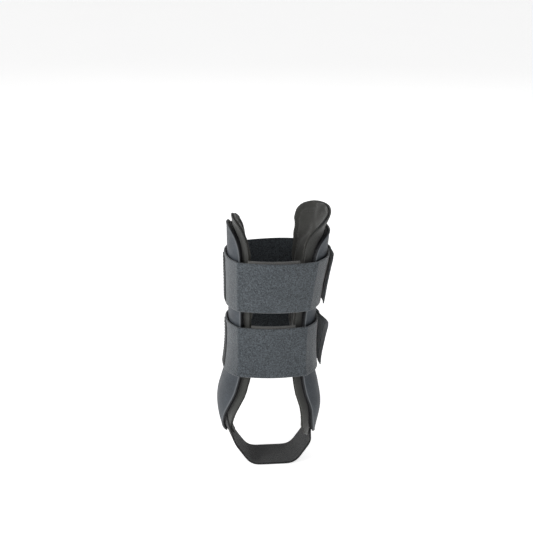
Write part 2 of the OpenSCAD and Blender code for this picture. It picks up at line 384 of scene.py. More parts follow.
class Nodes:
    """A small helper that adds shader nodes to a material and joins them."""

    def __init__(self, name):
        self.material = bpy.data.materials.new(name)
        self.material.use_nodes = True
        self.tree = self.material.node_tree
        self.shader = self.tree.nodes["Principled BSDF"]
        self.coords = self.tree.nodes.new("ShaderNodeTexCoord").outputs["Object"]

    def new(self, kind, **values):
        node = self.tree.nodes.new(kind)
        for key, value in values.items():
            if key in node.inputs:
                node.inputs[key].default_value = value
            else:
                setattr(node, key, value)
        return node

    def link(self, a, b):
        self.tree.links.new(a, b)

    def noise(self, scale, detail=3, rough=0.55, stretch=None):
        coords = self.coords
        if stretch:
            mapping = self.new("ShaderNodeMapping")
            mapping.inputs["Scale"].default_value = stretch
            self.link(coords, mapping.inputs["Vector"])
            coords = mapping.outputs["Vector"]
        node = self.new("ShaderNodeTexNoise", Scale=scale, Detail=detail, Roughness=rough)
        self.link(coords, node.inputs["Vector"])
        return node.outputs["Fac"]

    def ramp(self, fac, stops):
        node = self.new("ShaderNodeValToRGB")
        while len(node.color_ramp.elements) < len(stops):
            node.color_ramp.elements.new(0.5)
        for element, (at, color) in zip(node.color_ramp.elements, stops):
            element.position = at
            element.color = (*color, 1)
        self.link(fac, node.inputs["Fac"])
        return node.outputs["Color"]

    def mix(self, fac, a, b, blend="MIX"):
        node = self.new("ShaderNodeMix", data_type="RGBA", blend_type=blend)
        for socket, value in ((node.inputs[0], fac), (node.inputs[6], a), (node.inputs[7], b)):
            if isinstance(value, bpy.types.NodeSocket):
                self.link(value, socket)
            else:
                socket.default_value = value if isinstance(value, float) else (*value, 1)
        return node.outputs[2]

    def math(self, operation, a, b=0.0, clamp=False):
        node = self.new("ShaderNodeMath", operation=operation, use_clamp=clamp)
        for socket, value in ((node.inputs[0], a), (node.inputs[1], b)):
            if isinstance(value, bpy.types.NodeSocket):
                self.link(value, socket)
            else:
                socket.default_value = value
        return node.outputs[0]

    def bump(self, height, distance, strength=1.0, under=None):
        node = self.new("ShaderNodeBump", Strength=strength, Distance=distance)
        self.link(height, node.inputs["Height"])
        if under is not None:
            self.link(under, node.inputs["Normal"])
        return node.outputs["Normal"]

    def finish(self, color, rough, normal, sheen=0.0, specular=0.5):
        s = self.shader
        self.link(color, s.inputs["Base Color"])
        if isinstance(rough, bpy.types.NodeSocket):
            self.link(rough, s.inputs["Roughness"])
        else:
            s.inputs["Roughness"].default_value = rough
        self.link(normal, s.inputs["Normal"])
        s.inputs["Sheen Weight"].default_value = sheen
        s.inputs["Sheen Roughness"].default_value = 0.5
        s.inputs["Specular IOR Level"].default_value = specular
        return self.material


def around(color, amount):
    """A darker and a lighter shade either side of a colour."""
    return [tuple(c * (1 - amount) for c in color), tuple(min(1, c * (1 + amount)) for c in color)]


def painted_rim_highlight_and_shadow(n, color, lighter, darker, width_mm):
    """Lightens a colour just inside a piece's edge, a painted highlight where the rounded rim catches the
    light, and darkens the edge itself, a painted shadow of the gap beside it. The flat coordinates hold the
    distance from it."""
    flat = n.new("ShaderNodeUVMap", uv_map="flat").outputs["UV"]
    split = n.new("ShaderNodeSeparateXYZ")
    n.link(flat, split.inputs[0])
    near = n.math("MULTIPLY", split.outputs["Y"], 1000 / width_mm, clamp=True)
    # painted highlight: a lighter band just inside the edge, where the rounded rim catches the light
    inside = n.ramp(near, [(0.3, (1, 1, 1)), (0.95, (0, 0, 0))])
    # painted shadow: a dark line on the edge itself, for the shade in the gap between shell and liner
    edge = n.ramp(near, [(0.22, (1, 1, 1)), (0.38, (0, 0, 0))])
    return n.mix(edge, n.mix(inside, color, lighter), darker)


def shell_material():
    n = Nodes("shell_plastic")
    dark, light = around((0.049, 0.057, 0.067), 0.13)
    color = n.ramp(n.noise(55, 4), [(0.35, dark), (0.65, light)])
    speckle = n.ramp(n.noise(850, 3, 0.65), [(0.32, (0.74, 0.74, 0.74)), (0.68, (1.24, 1.24, 1.24))])
    color = n.mix(1.0, color, speckle, "MULTIPLY")
    # The shell's rim gets a painted highlight and, on its very edge, a painted shadow.
    color = painted_rim_highlight_and_shadow(n, color, (0.125, 0.135, 0.145), (0.010, 0.011, 0.013), 2.2)
    grain = n.bump(n.noise(1500, 3, 0.6), 0.00009)
    wave = n.bump(n.noise(26, 2), 0.0006, 0.35, grain)
    rough = n.math("MULTIPLY_ADD", n.noise(120, 3), 0.16)
    rough.node.inputs[2].default_value = 0.5
    return n.finish(color, rough, wave, specular=0.28)


def pile_material(name, color, contrast, cell=1.0, sheen=0.35):
    """Brushed loop pile: mottled tufts with soft sheen."""
    n = Nodes(name)
    dark, light = around(color, contrast)
    tuft = n.noise(780 / cell, 3, 0.7)
    base = n.ramp(tuft, [(0.33, dark), (0.67, light)])
    fleck = n.ramp(n.noise(1900 / cell, 2, 0.6), [(0.36, (0.72, 0.72, 0.73)), (0.66, (1.22, 1.22, 1.21))])
    base = n.mix(1.0, base, fleck, "MULTIPLY")
    patch = n.ramp(n.noise(42, 3), [(0.3, (0.9, 0.9, 0.91)), (0.7, (1.08, 1.08, 1.07))])
    base = n.mix(1.0, base, patch, "MULTIPLY")
    loops = n.bump(tuft, 0.00045, 0.9)
    fibre = n.bump(n.noise(3200 / cell, 2, 0.6), 0.00012, 0.8, loops)
    return n.finish(base, 0.93, fibre, sheen=sheen, specular=0.15)


def brushed_material(name, color, contrast=0.16):
    """Brushed knit: fine short fibres that run mostly down the leg."""
    n = Nodes(name)
    dark, light = around(color, contrast)
    fibre = n.noise(900, 3, 0.65, stretch=(1.6, 1.6, 0.45))
    base = n.ramp(fibre, [(0.34, dark), (0.66, light)])
    patch = n.ramp(n.noise(38, 3), [(0.3, (0.88, 0.88, 0.88)), (0.7, (1.1, 1.1, 1.1))])
    base = n.mix(1.0, base, patch, "MULTIPLY")
    knit = n.bump(n.noise(2300, 2, 0.5), 0.00010, 0.7)
    nap = n.bump(fibre, 0.00022, 0.8, knit)
    return n.finish(base, 0.9, nap, sheen=0.3, specular=0.2)


def foam_material():
    n = Nodes("liner_foam")
    cells = n.new("ShaderNodeTexVoronoi", Scale=1500.0)
    n.link(n.coords, cells.inputs["Vector"])
    color = n.ramp(cells.outputs["Distance"], [(0.1, (0.018, 0.018, 0.018)), (0.8, (0.045, 0.046, 0.045))])
    pores = n.bump(cells.outputs["Distance"], 0.0002, 0.8)
    return n.finish(color, 0.95, pores, specular=0.15)


def hook_material():
    """Moulded hook tape: rows of tiny hooks."""
    n = Nodes("hook_tape")
    cells = n.new("ShaderNodeTexVoronoi", Scale=900.0)
    n.link(n.coords, cells.inputs["Vector"])
    color = n.ramp(cells.outputs["Distance"], [(0.15, (0.022, 0.023, 0.025)), (0.6, (0.006, 0.006, 0.007))])
    hooks = n.bump(cells.outputs["Distance"], 0.0006, 1.0)
    return n.finish(color, 0.6, hooks, specular=0.2)


def webbing_material(name, color):
    """Herringbone webbing: columns of slanted yarns, from the strap's own flat coordinates."""
    rib_mm, column_mm = 1.5, 3.0
    n = Nodes(name)
    flat = n.new("ShaderNodeUVMap", uv_map="flat").outputs["UV"]
    split = n.new("ShaderNodeSeparateXYZ")
    n.link(flat, split.inputs[0])
    across = n.math("MULTIPLY", split.outputs["Y"], 1000 / column_mm)
    zigzag = n.math("PINGPONG", across, 1.0)
    along = n.math("MULTIPLY", split.outputs["X"], 1000 / rib_mm)
    slanted = n.math("ADD", along, n.math("MULTIPLY", zigzag, 1.2))
    yarn = n.math("PINGPONG", slanted, 0.5)
    yarn = n.math("MULTIPLY", yarn, 2.0)
    edge = n.math("PINGPONG", across, 0.5)
    rib = n.math("MINIMUM", yarn, n.math("MULTIPLY", edge, 6.0, clamp=True))
    dark, light = around(color, 0.45)
    base = n.ramp(rib, [(0.1, dark), (0.75, light)])
    fleck = n.ramp(n.noise(2400, 2), [(0.3, (0.8, 0.8, 0.8)), (0.7, (1.2, 1.2, 1.2))])
    base = n.mix(1.0, base, fleck, "MULTIPLY")
    weave = n.bump(rib, 0.0004, 0.9)
    fibre = n.bump(n.noise(2600, 2), 0.0001, 0.7, weave)
    return n.finish(base, 0.78, fibre, sheen=0.2, specular=0.3)


def thread_material(name, color):
    n = Nodes(name)
    dark, light = around(color, 0.25)
    twist = n.noise(2600, 2, 0.5)
    base = n.ramp(twist, [(0.35, dark), (0.65, light)])
    return n.finish(base, 0.6, n.bump(twist, 0.00012, 0.8), sheen=0.15, specular=0.35)


def floor_material():
    n = Nodes("floor")
    base = n.ramp(n.noise(3, 2), [(0.3, (0.83, 0.83, 0.83)), (0.7, (0.86, 0.86, 0.86))])
    n.shader.inputs["Emission Color"].default_value = (1, 1, 1, 1)
    n.shader.inputs["Emission Strength"].default_value = 0.75
    return n.finish(base, 0.7, n.bump(n.noise(400, 2), 0.00005, 0.2), specular=0.2)


SHELL = shell_material()
LOOP = pile_material("strap_loop", (0.058, 0.067, 0.075), 0.62, sheen=0.4)
TAB = pile_material("tab_loop", (0.058, 0.065, 0.071), 0.30, cell=0.8, sheen=0.35)
LINING = pile_material("pad_fabric", (0.090, 0.090, 0.087), 0.16, cell=0.7)
LINER = brushed_material("liner_fabric", (0.047, 0.047, 0.043))
BACKING = brushed_material("liner_backing", (0.045, 0.046, 0.043), 0.12)
FOAM = foam_material()
HOOK = hook_material()
WEBBING = webbing_material("heel_webbing", (0.008, 0.009, 0.010))
# The tabs' hook tape, coloured far lighter than the strap it lies on: painted light on the tab's inner
# face, which the strap shades.
TAB_HOOK_PAINTED_LIGHT = pile_material("tab_hook_painted_light", (0.092, 0.106, 0.118), 0.35, cell=0.6, sheen=0.3)
LINER_THREAD = thread_material("thread_liner", (0.055, 0.055, 0.050))
LOOP_THREAD = thread_material("thread_strap", (0.075, 0.082, 0.090))


# ---- shells and liners: outline in (degrees, height), thickness along the section's normal ----


def reach(side, z, margin, low, high):
    """How far a piece reaches round the leg at heights z, back and front, in degrees."""
    full = row_at(REACH[side], z)
    top = arch((z - TOP_ARCH[0]) / (high - TOP_ARCH[0]), TOP_ARCH[1])
    (back_z, back_full), (front_z, front_full) = FOOT[side]
    back = arch((back_z - z) / (back_z - low), back_full)
    front = arch((front_z - z) / (front_z - low), front_full)
    return np.maximum(0.6, (full[..., 1] + margin) * top * back), np.maximum(
        0.6, (full[..., 2] + margin) * top * front)


class Outline:
    """The outline of a piece that follows one side of the leg."""

    def __init__(self, side, low, high, margin, crest=0.0, inset=0.0):
        self.side, self.low, self.high = side, low + inset, high - inset
        self.margin = margin - inset / DEG_TO_MM
        self.crest = crest
        self.full = (low, high)

    def angle(self, z, u):
        """The angle round the leg at u from -1 (back) to 1 (front)."""
        back, front = reach(self.side, z, self.margin, self.low, self.high)
        forward = self.crest * smooth((z - self.high + 28) / 28)
        a = np.where(u < 0, u * back, u * front) + forward
        return a if self.side == MEDIAL else 180 - a

    def rim(self, n=900):
        """Points of the outline, as arc length round the leg and height, in millimetres."""
        t = np.linspace(0, 1, n)
        z = self.low + (self.high - self.low) * (0.5 - 0.5 * np.cos(math.pi * t))
        front = np.stack([self.angle(z, np.ones(n)) * DEG_TO_MM, z], -1)
        back = np.stack([self.angle(z, -np.ones(n)) * DEG_TO_MM, z], -1)
        return np.concatenate([front, back[::-1]])

    def distance(self, angle, z):
        """Distance inside the outline, in millimetres."""
        rim = self.rim()
        rim = np.concatenate([rim, rim[:1]])
        p = np.stack([angle * DEG_TO_MM, z], -1).reshape(-1, 2)
        best = np.full(len(p), 1e9)
        for a, b in zip(rim[:-1], rim[1:]):
            ab = b - a
            t = np.clip(((p - a) @ ab) / max(1e-12, ab @ ab), 0, 1)
            near = a + t[:, None] * ab
            best = np.minimum(best, ((p - near) ** 2).sum(1))
        return np.sqrt(best).reshape(angle.shape)

    def grid(self, rows, cols, edge):
        t = np.linspace(0, 1, rows)
        z = self.low + (self.high - self.low) * (0.25 * t + 0.375 * (1 - np.cos(math.pi * t)))
        u = 2 * spaced(62, 62 / cols, edge) - 1
        zz, uu = np.meshgrid(z, u, indexing="ij")
        return zz, uu, self.angle(zz, uu)


def layer(name, outline, rows, cols, edge, d_out, d_in, material):
    """A closed layer between two offsets, with a rounded rim. Its flat coordinates are the arc length
    round the leg and the distance from the rim."""
    z, u, angle = outline.grid(rows, cols, edge)
    distance = outline.distance(angle, z)
    top, bottom = d_out(u, z, distance), d_in(u, z, distance)
    middle, half = (top + bottom) / 2, (top - bottom) / 2
    h = half * half_round(distance, edge)
    flat = np.stack([angle * DEG_TO_MM, distance], -1)
    return closed_sheet(name, on_leg(z, angle, middle + h), on_leg(z, angle, middle - h), material, flat)


def make_shell(side):
    name = SIDE_NAME[side]
    outline = Outline(side, SHELL_FOOT, SHELL_TOP[side], 0)

    def outer(u, z, distance):
        # A faint raised lip runs round the moulded edge.
        lip, lip_at, lip_width = 0.45, 1.7, 0.9
        return lip * np.exp(-((distance - lip_at) / lip_width) ** 2) - lip

    obj = layer(f"{name}_shell_moulding", outline, 190, 56, SHELL_WALL / 2, outer,
                lambda u, z, distance: -SHELL_WALL + 0 * z, SHELL)
    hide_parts(f"{name}_shell")
    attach(obj, f"{name}_shell")


def liner_depth(u, z, low, high):
    v = (z - low) / (high - low)
    crown = (1 - np.abs(u) ** 3) * (1 - np.abs(2 * v - 1) ** 6)
    return LINER_OUT - LINER_RIM - (LINER_MIDDLE - LINER_RIM) * crown


def flare(side, z):
    """How far a liner's lip turns outwards above the top of its shell."""
    return LINER_FLARE[side] * smooth((z - SHELL_TOP[side] + 2) / 18)


def inflate(obj, pinned, pressure, cap):
    """Swells a closed padded mesh with the cloth simulation, holding the pinned vertices."""
    rest = np.array([v.co for v in obj.data.vertices])
    group = obj.vertex_groups.new(name="pinned")
    group.add([int(i) for i in np.nonzero(pinned)[0]], 1.0, "REPLACE")
    cloth = obj.modifiers.new("cloth", "CLOTH")
    cloth.settings.use_pressure = True
    cloth.settings.uniform_pressure_force = pressure
    cloth.settings.effector_weights.gravity = 0
    cloth.settings.vertex_group_mass = "pinned"
    cloth.settings.mass = 0.15
    cloth.settings.tension_stiffness = 12
    cloth.settings.compression_stiffness = 12
    cloth.settings.bending_stiffness = 0.4
    cloth.settings.shrink_min = -0.03
    cloth.settings.quality = 6
    scene = bpy.context.scene
    settle_frames = 20
    for f in range(1, settle_frames + 1):
        scene.frame_set(f)
    shaped = obj.evaluated_get(bpy.context.evaluated_depsgraph_get())
    co = np.array([v.co for v in shaped.data.vertices])
    obj.modifiers.remove(cloth)
    obj.vertex_groups.remove(group)
    move = co - rest
    size = np.linalg.norm(move, axis=1, keepdims=True)
    move *= np.minimum(1, cap / np.maximum(size, 1e-9))
    obj.data.vertices.foreach_set("co", (rest + move).ravel())
    obj.data.update()
    scene.frame_set(1)


def toward_leg(obj):
    """How squarely each vertex of a liner faces the leg, from -1 to 1, and the vertices' places."""
    co = np.array([v.co for v in obj.data.vertices]) / MM
    normals = np.array([v.normal for v in obj.data.vertices])
    facing = -(normals[:, 0] * co[:, 0] + normals[:, 1] * co[:, 1]) / np.hypot(co[:, 0], co[:, 1])
    return facing, co, normals


def make_liner_layer(side, piece, stands_for, outline, rows, cols, edge, d_out, d_in, material):
    """A flat layer of a liner, between two distances from the section."""
    name = SIDE_NAME[side]
    obj = layer(f"{name}_{piece}", outline, rows, cols, edge, lambda u, z, e: d_out + flare(side, z),
                lambda u, z, e: d_in + flare(side, z), material)
    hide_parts(f"{name}_{stands_for}")
    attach(obj, f"{name}_shell")


def make_liner_pad(side, outline):
    """The padded facing: swollen by the cloth simulation, then quilted."""
    name = SIDE_NAME[side]
    low, high = outline.full
    pad = layer(f"{name}_liner_pad", outline, 92, 26, 2.2,
                lambda u, z, e: PAD_OUT + flare(side, z),
                lambda u, z, e: liner_depth(u, z, low, high) + 1.2 + flare(side, z), LINER)
    facing, _, _ = toward_leg(pad)
    inflate(pad, facing < 0.35, 3.0, PAD_SWELL * MM)
    sub = pad.modifiers.new("smooth", "SUBSURF")
    sub.levels = sub.render_levels = 1
    apply_modifiers(pad)
    quilt(pad, outline)
    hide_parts(f"{name}_liner_facing")
    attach(pad, f"{name}_shell")
    return pad


def make_liner(side):
    name = SIDE_NAME[side]
    low, high = LINER_FOOT, LINER_TOP[side]
    crest = LINER_CREST[side]
    full = Outline(side, low, high, LINER_MARGIN, crest)
    core = Outline(side, low, high, LINER_MARGIN, crest, inset=0.9)
    make_liner_layer(side, "liner_backing_cloth", "liner_backing", full, 150, 44, 0.55,
                     LINER_OUT, BACKING_IN, BACKING)
    make_liner_layer(side, "liner_foam_core", "liner_foam", core, 130, 40, 0.6,
                     FOAM_OUT, FOAM_IN, FOAM)
    pad = make_liner_pad(side, full)
    stitches = rim_stitches(f"{name}_liner_stitching", pad, full)
    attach(stitches, f"{name}_shell")


def apply_modifiers(obj):
    graph = bpy.context.evaluated_depsgraph_get()
    done = bpy.data.meshes.new_from_object(obj.evaluated_get(graph), depsgraph=graph)
    obj.modifiers.clear()
    obj.data = done


def quilt(pad, outline):
    """Presses the sewn channel into the pad, with slight puckers beside it."""
    facing, co, normals = toward_leg(pad)
    angle = np.degrees(np.arctan2(co[:, 1], co[:, 0]))
    if outline.side == LATERAL:
        angle = angle % 360
    distance = outline.distance(angle, co[:, 2])
    depth = 1.0 * np.exp(-((distance - CHANNEL_IN) / 1.5) ** 2)
    pucker = 0.35 * (value_noise(co, 4.5, 3) - 0.5) * np.exp(-((distance - CHANNEL_IN - 1) / 5) ** 2)
    soft = 0.5 * (value_noise(co, 22, 5) - 0.5)
    co -= normals * ((depth - pucker - soft) * (facing > 0.25))[:, None]
    pad.data.vertices.foreach_set("co", (co * MM).ravel())
    pad.data.update()


def surface_of(obj):
    return BVHTree.FromPolygons([v.co for v in obj.data.vertices], [p.vertices for p in obj.data.polygons])


def rim_stitches(name, pad, outline):
    """A row of stitches in the sewn channel of a liner."""
    pitch, length, width = 3.3, 2.3, 0.55
    low, high = outline.full
    rim = Outline(outline.side, low, high, outline.margin, outline.crest, CHANNEL_IN).rim(400)
    rim = np.concatenate([rim, rim[:1]])
    step = np.linalg.norm(np.diff(rim, axis=0), axis=1)
    at = np.concatenate([[0], np.cumsum(step)])
    where = np.arange(0, at[-1], pitch)
    s, z = np.interp(where, at, rim[:, 0]), np.interp(where, at, rim[:, 1])
    guess = on_leg(z, s / DEG_TO_MM, LINER_OUT - LINER_RIM - 4) * MM
    tree = surface_of(pad)
    places, out = [], []
    for g in guess:
        spot, normal, _, _ = tree.find_nearest(Vector(g))
        places.append(np.array(spot) / MM)
        out.append(np.array(normal))
    places = np.array(places)
    along = np.roll(places, -1, 0) - np.roll(places, 1, 0)
    return capsule_row(name, places + np.array(out) * 0.12, along, out, length, width, LINER_THREAD)


def make_hook_field(side):
    """The dark hook tape that fills the gap between shell and liner, thin where the heel strap passes."""
    name = SIDE_NAME[side]
    outline = Outline(side, SHELL_FOOT, SHELL_TOP[side], 0, inset=1.3)
    thin, full = -SHELL_WALL - 0.85, LINER_OUT + 0.15

    def outer(u, z, distance):
        return -SHELL_WALL - 0.12 + 0 * z

    def inner(u, z, distance):
        y = radius(z, outline.angle(z, u), LINER_OUT) * np.sin(np.radians(outline.angle(z, u)))
        above = smooth((z - HEEL_TOP - 1) / 3)
        beside = smooth((np.abs(y - HEEL_Y) - HEEL_W / 2 - 0.6) / 2)
        return thin + (full - thin) * np.maximum(above, beside)

    obj = layer(f"{name}_hook_field", outline, 90, 30, 0.4, outer, inner, HOOK)
    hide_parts(f"{name}_liner_hooks", f"heel_hook_{name}")
    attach(obj, f"{name}_shell")


# ---- heel strap ----


def heel_path(side):
    """Middle line of half the heel strap, as |x| and z, with evenly spaced points."""
    bend_r = HEEL_BEND - HEEL_T / 2
    bend = [(HEEL_BEND + bend_r * math.sin(math.radians(a)), HEEL_BEND - bend_r * math.cos(math.radians(a)))
            for a in range(0, 56, 5)]
    rise = [31, 40, 50, 60, HEEL_TOP]
    section = row_at(STATIONS, np.array(rise))[:, 1 if side == LATERAL else 2] - HEEL_IN
    points = [(0, HEEL_T / 2), (HEEL_BEND / 2, HEEL_T / 2)] + bend + [HEEL_KNEE] + list(zip(section, rise))
    p = np.array(points)
    at = np.concatenate([[0], np.cumsum(np.linalg.norm(np.diff(p, axis=0), axis=1))])
    s = np.arange(0, at[-1], HEEL_STEP)
    q = np.stack([np.interp(s, at, p[:, 0]), np.interp(s, at, p[:, 1])], -1)
    kernel = np.hanning(2 * HEEL_BLUR + 1)
    kernel /= kernel.sum()
    start = np.stack([-q[HEEL_BLUR:0:-1, 0], q[HEEL_BLUR:0:-1, 1]], -1)
    stop = 2 * q[-1] - q[-2:-HEEL_BLUR - 2:-1]
    padded = np.concatenate([start, q, stop])
    smoothed = np.stack([np.convolve(padded[:, k], kernel, "valid") for k in range(2)], -1)
    # A short overlap past the middle hides where the two halves meet.
    extra = np.arange(-HEEL_OVERLAP, 0, HEEL_STEP)
    overlap = np.stack([extra, 0 * extra + smoothed[0, 1]], -1)
    return np.concatenate([extra, s]), np.concatenate([overlap, smoothed])


def heel_curl(side, y, z):
    """How far the strap bends round the ankle with the shell, above the hinge."""
    stations = row_at(STATIONS, z)
    depth = np.where(y > 0, stations[..., 4], stations[..., 3]) - HEEL_IN
    full = stations[..., 1 if side == LATERAL else 2] - HEEL_IN
    curved = full * (1 - (np.abs(y) / depth) ** SQUARENESS) ** (1 / SQUARENESS)
    return (curved - full) * smooth((z - 16) / 24)


def make_heel_half(side):
    name = SIDE_NAME[side]
    s, path = heel_path(side)
    w = spaced(HEEL_W, 1.0, HEEL_T / 2) * HEEL_W
    ss, ww = np.meshgrid(s, w, indexing="ij")
    y = HEEL_Y - HEEL_W / 2 + ww
    tangent = np.gradient(path, axis=0)
    tangent /= np.linalg.norm(tangent, axis=1, keepdims=True)
    normal = np.stack([tangent[:, 1], -tangent[:, 0]], -1)
    z_row = path[:, 1][:, None] + 0 * ww
    curl = heel_curl(side, y, z_row)
    taper = half_round(np.minimum(ww, HEEL_W - ww), HEEL_T / 2)
    tip = np.where(ss > s[-1] - HEEL_T / 2, half_round(s[-1] - ss, HEEL_T / 2), 1.0)
    thinner = np.where(ss < 0, 0.7, 1.0)
    h = HEEL_T / 2 * taper * tip * thinner
    wavy = 0.12 * (value_noise(np.stack([ss, ww, 0 * ww], -1), 9, 8) - 0.5) * smooth((z_row - 1) / 8)

    def face(sign):
        x = path[:, 0][:, None] + curl + normal[:, 0][:, None] * (sign * h + wavy)
        z = z_row + normal[:, 1][:, None] * (sign * h + wavy)
        return np.stack([side * x, y, z], -1)

    flat = np.stack([side * ss, ww], -1)
    obj = closed_sheet(f"{name}_heel_webbing", face(1), face(-1), WEBBING, flat)
    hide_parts(f"heel_strap_{name}_end", "heel_strap")
    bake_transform(obj)


# ---- leg straps ----


def pile(points, strength):
    """Lifts of the loop pile, in millimetres."""
    coarse = value_noise(points, 1.15, 11) - 0.5
    fine = value_noise(points, 0.62, 12) - 0.5
    return strength * (0.7 * coarse + 0.5 * fine)


def strap_run(name, z0, to_angle, middle, seed):
    """Half a strap, from the anchor's middle to the given angle. middle is the distance of its middle
    from the path, at each angle."""
    angles = crowded(180, to_angle)
    w = spaced(STRAP_W, 0.8, STRAP_EDGE) * STRAP_W
    aa, ww = np.meshgrid(angles, w, indexing="ij")
    length = np.concatenate([[0], np.cumsum(np.abs(np.diff(angles)) * DEG_TO_MM)])
    ll = length[:, None] + 0 * ww
    end = half_round(length[-1] - ll, STRAP_END_EDGE)
    edge = half_round(np.minimum(ww, STRAP_W - ww), STRAP_EDGE)
    sway = 0.5 * (value_noise(np.stack([ll / 30, 0 * ll, 0 * ll], -1), 1.0, seed) - 0.5)
    z = z0 + ww + sway
    flat = np.stack([ll, ww], -1)
    places = np.stack([ll, ww, 0 * ww], -1)
    soft = 0.2 * (value_noise(places, 16, seed + 4) - 0.5) * end
    lift = pile(places, 0.2) * edge * end
    h = STRAP_T / 2 * edge * end
    out = on_strap(z, aa, middle(aa) + h + lift + soft)
    inn = on_strap(z, aa, middle(aa) - h + soft)
    return closed_sheet(name, out, inn, LOOP, flat)


def crowded(start, stop):
    """Angles from start to stop, crowded at both ends."""
    length = abs(stop - start) * DEG_TO_MM
    return start + (stop - start) * spaced(length, 0.7, STRAP_END_EDGE)


def front_middle(angle):
    """The front half rises over the end of the back half where it laps it."""
    return STRAP_MID + LAP_RISE * smooth((LAP_FROM - angle) / (LAP_FROM - LAP_TO))


def make_strap(level):
    z0 = STRAP_Z[level]
    z_middle = z0 + STRAP_W / 2
    seed = 2 if level == "upper" else 7

    rear = strap_run(f"{level}_strap_rear", z0, BACK_END, lambda angle: STRAP_MID + 0 * angle, seed)
    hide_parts(f"{level}_strap_anchor", f"{level}_strap_back", f"{level}_strap_back_end")
    bend(rear, "lateral_shell", f"{level}_strap_back", z_middle, HINGE_BACK - 4, HINGE_BACK + 4, 0)

    fore = strap_run(f"{level}_strap_fore", z0, FRONT_END, front_middle, seed + 1)
    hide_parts(f"{level}_strap_front", f"{level}_strap_front_end")
    bend(fore, "lateral_shell", f"{level}_strap_front", z_middle, HINGE_FRONT + 4, HINGE_FRONT - 4, 0)

    make_anchor(level, z0)
    make_lining(level, z0)
    make_tab(level, z0)
    make_tab_hooks(level, z0)
    tab_stitches(level, z0)


def bend(obj, a, b, z, from_angle, to_angle, axis):
    """Bakes a band's transform into its mesh; the band is not bent. It works out the hinge's ends along one
    axis (0 is x, 1 is y) but does not use them, and body b is not used."""
    start = on_strap(z, from_angle, STRAP_MID) * MM
    end = start.copy()
    end[axis] = on_strap(z, to_angle, STRAP_MID)[axis] * MM
    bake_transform(obj)


def strap_stitches(name, z0, spots, d, body):
    """Stitches on a strap's outside, d out from its path, between pairs of (angle, width) places."""
    length, width = 2.1, 0.5
    places, along, out = [], [], []
    for (a0, w0), (a1, w1) in spots:
        p = on_strap(z0 + w0, a0, d)
        q = on_strap(z0 + w1, a1, d)
        places.append((p + q) / 2)
        along.append(q - p)
        out.append(np.array([p[0], p[1], 0]) / np.hypot(p[0], p[1]))
    thread = capsule_row(name, np.array(places), along, out, length, width, LOOP_THREAD)
    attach(thread, body)


def make_anchor(level, z0):
    """The sewn tape over the lateral shell, where a strap's two halves are held."""
    half = ANCHOR_W / 2 / DEG_TO_MM
    height = STRAP_W - 2 * ANCHOR_IN
    w = spaced(height, 1.2, ANCHOR_EDGE) * height + ANCHOR_IN
    angles = 180 - half + 2 * half * spaced(ANCHOR_W, 1.0, ANCHOR_EDGE)
    aa, ww = np.meshgrid(angles, w, indexing="ij")
    along = (aa - angles[0]) * DEG_TO_MM
    edge = half_round(np.minimum(ww - w[0], w[-1] - ww), ANCHOR_EDGE)
    edge = edge * half_round(np.minimum(along, ANCHOR_W - along), ANCHOR_EDGE)
    base = STRAP_MID + STRAP_T / 2 + 0.25
    out = on_strap(z0 + ww, aa, base + 0.55 * edge)
    inn = on_strap(z0 + ww, aa, base - 0.35 * edge)
    tape = closed_sheet(f"{level}_anchor_tape", out, inn, WEBBING, np.stack([ww, along], -1))
    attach(tape, "lateral_shell")
    spots = box_stitches(angles[0], w[0], angles[-1], w[-1])
    strap_stitches(f"{level}_anchor_stitching", z0, spots, base + 0.6, "lateral_shell")


def box_stitches(from_a, from_w, to_a, to_w):
    """Ends of the stitches of a box with a cross in it, inside a tape's edges."""
    inset, pitch = 2.6, 2.9
    x0, x1 = from_a + inset / DEG_TO_MM, to_a - inset / DEG_TO_MM
    y0, y1 = from_w + inset, to_w - inset
    corners = [(x0, y0), (x1, y0), (x1, y1), (x0, y1), (x0, y0), (x1, y1), (x1, y0), (x0, y1)]
    spots = []
    for (ax, ay), (bx, by) in zip(corners[:-1], corners[1:]):
        length = math.hypot((bx - ax) * DEG_TO_MM, by - ay)
        n = max(2, round(length / pitch))
        for k in range(n):
            t0, t1 = (k + 0.15) / n, (k + 0.85) / n
            spots.append([(ax + (bx - ax) * t, ay + (by - ay) * t) for t in (t0, t1)])
    return spots


def make_lining(level, z0):
    """The soft layer behind a strap, between the liners."""
    angles = LINING_FROM + LINING_SPAN * spaced(LINING_SPAN * DEG_TO_MM, 1.2, LINING_EDGE)
    width = STRAP_W - 0.5
    w = spaced(width, 1.2, LINING_EDGE) * width + 2.4
    aa, ww = np.meshgrid(angles, w, indexing="ij")
    along = (aa - angles[0]) * DEG_TO_MM
    gap = np.minimum(np.minimum(ww - w[0], w[-1] - ww), np.minimum(along, along.max() - along))
    h = LINING_T / 2 * half_round(gap, LINING_EDGE)
    soft = 0.8 * (value_noise(np.stack([along, ww, 0 * ww], -1), 9, 21) - 0.5)
    middle = STRAP_GAP - 0.3 - LINING_T / 2
    out = on_strap(z0 + ww, aa, middle + h)
    inn = on_strap(z0 + ww, aa, middle - h - np.abs(soft) * half_round(gap, 6))
    obj = closed_sheet(f"{level}_back_lining", out, inn, LINING, np.stack([along, ww], -1))
    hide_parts(f"{level}_back_pad")
    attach(obj, f"{level}_strap_back")


def tab_tip(level, w):
    """The angle of a tab's free end at width w, with its rounded corners."""
    low, high = TAB_TIP[level]
    r_low, r_high = TAB_CORNER[level]
    tip = low + (high - low) * w / STRAP_W
    for r, e in ((r_low, w), (r_high, STRAP_W - w)):
        t = np.clip(1 - e / r, 0, 1)
        tip = tip + r / DEG_TO_MM * (1 - np.sqrt(1 - t**2))
    return tip


